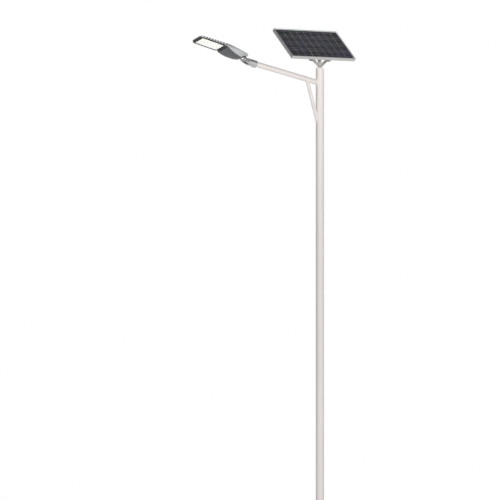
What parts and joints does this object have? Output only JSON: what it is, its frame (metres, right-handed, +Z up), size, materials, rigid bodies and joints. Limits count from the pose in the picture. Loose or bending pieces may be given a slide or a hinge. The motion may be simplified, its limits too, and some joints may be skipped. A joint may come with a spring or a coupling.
{
  "type": "solar street lamp",
  "caption": "Solar street lamp: flanged steel pole, braced arm with an adjustable LED head and its battery inside, and a tilting solar panel on a swivel bracket.",
  "frame": {"origin": "on the pole's axis at the underside of the base flange", "axes": "+Z up along the pole, the arm reaches along -X, the panel's low edge faces -Y"},
  "size_m": [1.6296, 0.4223, 5.37],
  "materials": {
    "pole_paint": "warm off-white powder coat, satin",
    "galvanised": "hot-dip galvanised, dull spangle",
    "fastener_steel": "stainless, turned",
    "anodised_frame": "clear anodised",
    "panel_glass": "low-iron tempered glass, lightly textured",
    "solar_cells": "polycrystalline silicon with silver busbars",
    "white_sheet": "matt white",
    "black_plastic": "moulded black, fine texture",
    "lead_jacket": "matt black rubber",
    "lamp_grey": "light grey powder coat on die-cast aluminium",
    "cover_grey": "dark grey powder coat on die-cast aluminium",
    "window_glass": "clear tempered glass",
    "led_lens": "clear lenses over yellow-phosphor LEDs on a white board",
    "battery_wrap": "blue shrink wrap"
  },
  "bodies": {
    "pole": {"base_flange": "pole_paint", "pole_tube": "pole_paint", "pole_cap": "galvanised", "swivel_lock_bolt": "fastener_steel", "arm_tube": "pole_paint", "brace_tube": "pole_paint", "feed_cable": "lead_jacket", "earth_stud": "fastener_steel", "door_hinge_lower": "galvanised", "door_hinge_upper": "galvanised", "door_hinge_pin": "fastener_steel", "door_lock_bar": "galvanised"},
    "door": {"pole_door": "pole_paint", "door_seal": "lead_jacket"},
    "door_lock": {"door_lock": "fastener_steel"},
    "bracket": {"bracket_stem": "galvanised", "bracket_strut_left": "galvanised", "bracket_strut_right": "galvanised", "cross_tube": "galvanised", "pivot_plate_left": "galvanised", "pivot_plate_right": "galvanised", "tilt_bolt_left": "fastener_steel", "tilt_bolt_right": "fastener_steel", "clamp_bolt_left": "fastener_steel", "clamp_bolt_right": "fastener_steel", "stem_lead": "lead_jacket"},
    "panel": {"panel_rail_left": "galvanised", "panel_rail_right": "galvanised", "frame_front": "anodised_frame", "frame_rear": "anodised_frame", "frame_left": "anodised_frame", "frame_right": "anodised_frame", "panel_glass": "panel_glass", "cell_sheet": "solar_cells", "backsheet": "white_sheet", "junction_box": "black_plastic", "junction_box_lid": "black_plastic", "panel_lead": "lead_jacket"},
    "adapter": {"spigot_adapter": "lamp_grey", "spigot_screw_outer": "fastener_steel", "spigot_screw_inner": "fastener_steel", "knuckle_bolt": "fastener_steel", "knuckle_nut": "fastener_steel"},
    "lamp_head": {"lamp_housing": "lamp_grey", "led_bezel": "black_plastic", "led_window": "window_glass", "window_seal": "lead_jacket", "led_board": "white_sheet", "lens_plate": "led_lens", "battery_pack": "battery_wrap", "battery_strap": "galvanised", "charge_controller": "anodised_frame", "cable_gland": "black_plastic", "lamp_lead": "lead_jacket", "cover_hinge_pin": "fastener_steel"},
    "cover": {"compartment_cover": "cover_grey", "cover_seal": "lead_jacket"},
    "cover_latch": {"cover_latch": "fastener_steel"}
  },
  "joints": [
    {"name": "panel_swivel", "type": "hinge", "parent": "pole", "child": "bracket", "pos_m": [0, 0, 5], "axis": [0, 0, 1], "range_deg": [-180, 180]},
    {"name": "panel_tilt", "type": "hinge", "parent": "bracket", "child": "panel", "pos_m": [0, 0, 5.1026], "axis": [1, 0, 0], "range_deg": [-29, 21], "deforming": ["panel_lead"]},
    {"name": "lamp_roll", "type": "hinge", "parent": "pole", "child": "adapter", "pos_m": [-0.68064, 0, 5.01054], "axis": [-0.9765, 0, 0.2154], "range_deg": [-33, 7]},
    {"name": "lamp_tilt", "type": "hinge", "parent": "adapter", "child": "lamp_head", "pos_m": [-0.808, 0.0027, 5.05061], "axis": [0.0485, -0.9744, 0.2197], "range_deg": [-12.5, 15], "deforming": ["lamp_lead"]},
    {"name": "cover_hinge", "type": "hinge", "parent": "lamp_head", "child": "cover", "pos_m": [-1.02773, 0.01199, 5.14028], "axis": [-0.0485, 0.9744, -0.2197], "range_deg": [0, 75]},
    {"name": "cover_latch_turn", "type": "hinge", "parent": "cover", "child": "cover_latch", "pos_m": [-0.86983, 0.00334, 5.06711], "axis": [-0.2533, -0.2247, -0.9409], "range_deg": [0, 90]},
    {"name": "door_hinge", "type": "hinge", "parent": "pole", "child": "door", "pos_m": [0.03858, -0.02505, 0.6], "axis": [0, 0, 1], "range_deg": [0, 110]},
    {"name": "door_lock_turn", "type": "hinge", "parent": "door", "child": "door_lock", "pos_m": [0, -0.0321, 0.6], "axis": [0, -1, 0], "range_deg": [0, 90]}
  ]
}
